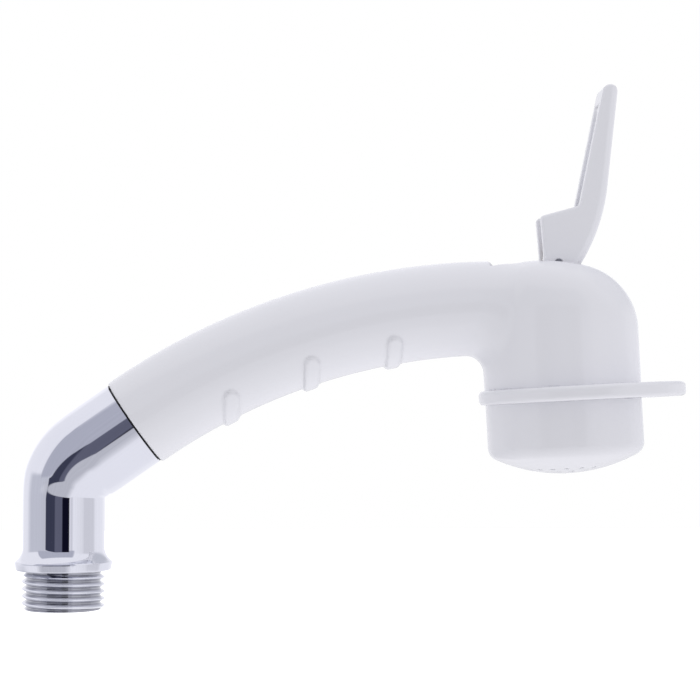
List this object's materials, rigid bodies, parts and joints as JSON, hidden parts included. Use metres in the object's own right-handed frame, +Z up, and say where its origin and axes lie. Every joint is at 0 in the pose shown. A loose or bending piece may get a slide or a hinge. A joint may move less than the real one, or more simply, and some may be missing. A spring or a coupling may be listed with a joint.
{
  "type": "handheld shower head",
  "caption": "Curved white hand spray with a chromed swivel inlet elbow, a folding on-off lever and a splash ring round its domed spray face.",
  "frame": {"origin": "centre of the inlet thread's flat end face", "axes": "+Z up along the inlet leg, away from the hose; +X from the inlet towards the head; +Y across the part, which is symmetric about Y = 0"},
  "size_m": [0.1719, 0.0532, 0.1349],
  "materials": {
    "white_plastic": "gloss",
    "chromed_brass": "polished",
    "turned_brass": "satin",
    "steel": "brushed",
    "seal_rubber": "matte",
    "inner_plastic": "matte"
  },
  "bodies": {
    "inlet": {"elbow": "chromed_brass", "elbow_o_rings": "seal_rubber", "elbow_snap_ring": "steel", "inlet_strainer": "inner_plastic"},
    "valve": {"valve_stem": "turned_brass", "valve_washer": "seal_rubber", "washer_screw": "steel", "valve_spring": "steel"},
    "lever_arm": {"lever": "white_plastic", "lever_pin": "steel"},
    "hand_piece": {"handle_shell": "white_plastic", "inlet_socket": "turned_brass", "water_tube": "inner_plastic", "water_tube_seals": "seal_rubber", "valve_body": "turned_brass", "valve_body_o_rings": "seal_rubber", "valve_body_screws": "steel", "valve_seat": "turned_brass", "seat_gasket": "seal_rubber", "stem_o_ring": "seal_rubber", "gland_bush": "inner_plastic", "cam_plate": "steel", "diffuser": "inner_plastic", "cap_gasket": "seal_rubber", "spray_cap": "white_plastic", "splash_ring": "white_plastic"}
  },
  "joints": [
    {"name": "elbow_swivel", "type": "hinge", "parent": "inlet", "child": "hand_piece", "pos_m": [0.01791, 0, 0.04729], "axis": [0.8192, 0, 0.5736], "continuous": true},
    {"name": "valve_lift", "type": "slide", "parent": "hand_piece", "child": "valve", "axis": [-0.0506, 0, 0.9987], "range_m": [0, 0.00141], "deforming": ["valve_spring"]},
    {"name": "lever_fold", "type": "hinge", "parent": "valve", "child": "lever_arm", "pos_m": [0.12641, 0, 0.08836], "axis": [0, -1, 0], "range_deg": [0, 108.2]}
  ],
  "couplings": [
    {"joint": "lever_fold", "follows": "valve_lift", "rad_per_m": 1333.3}
  ]
}
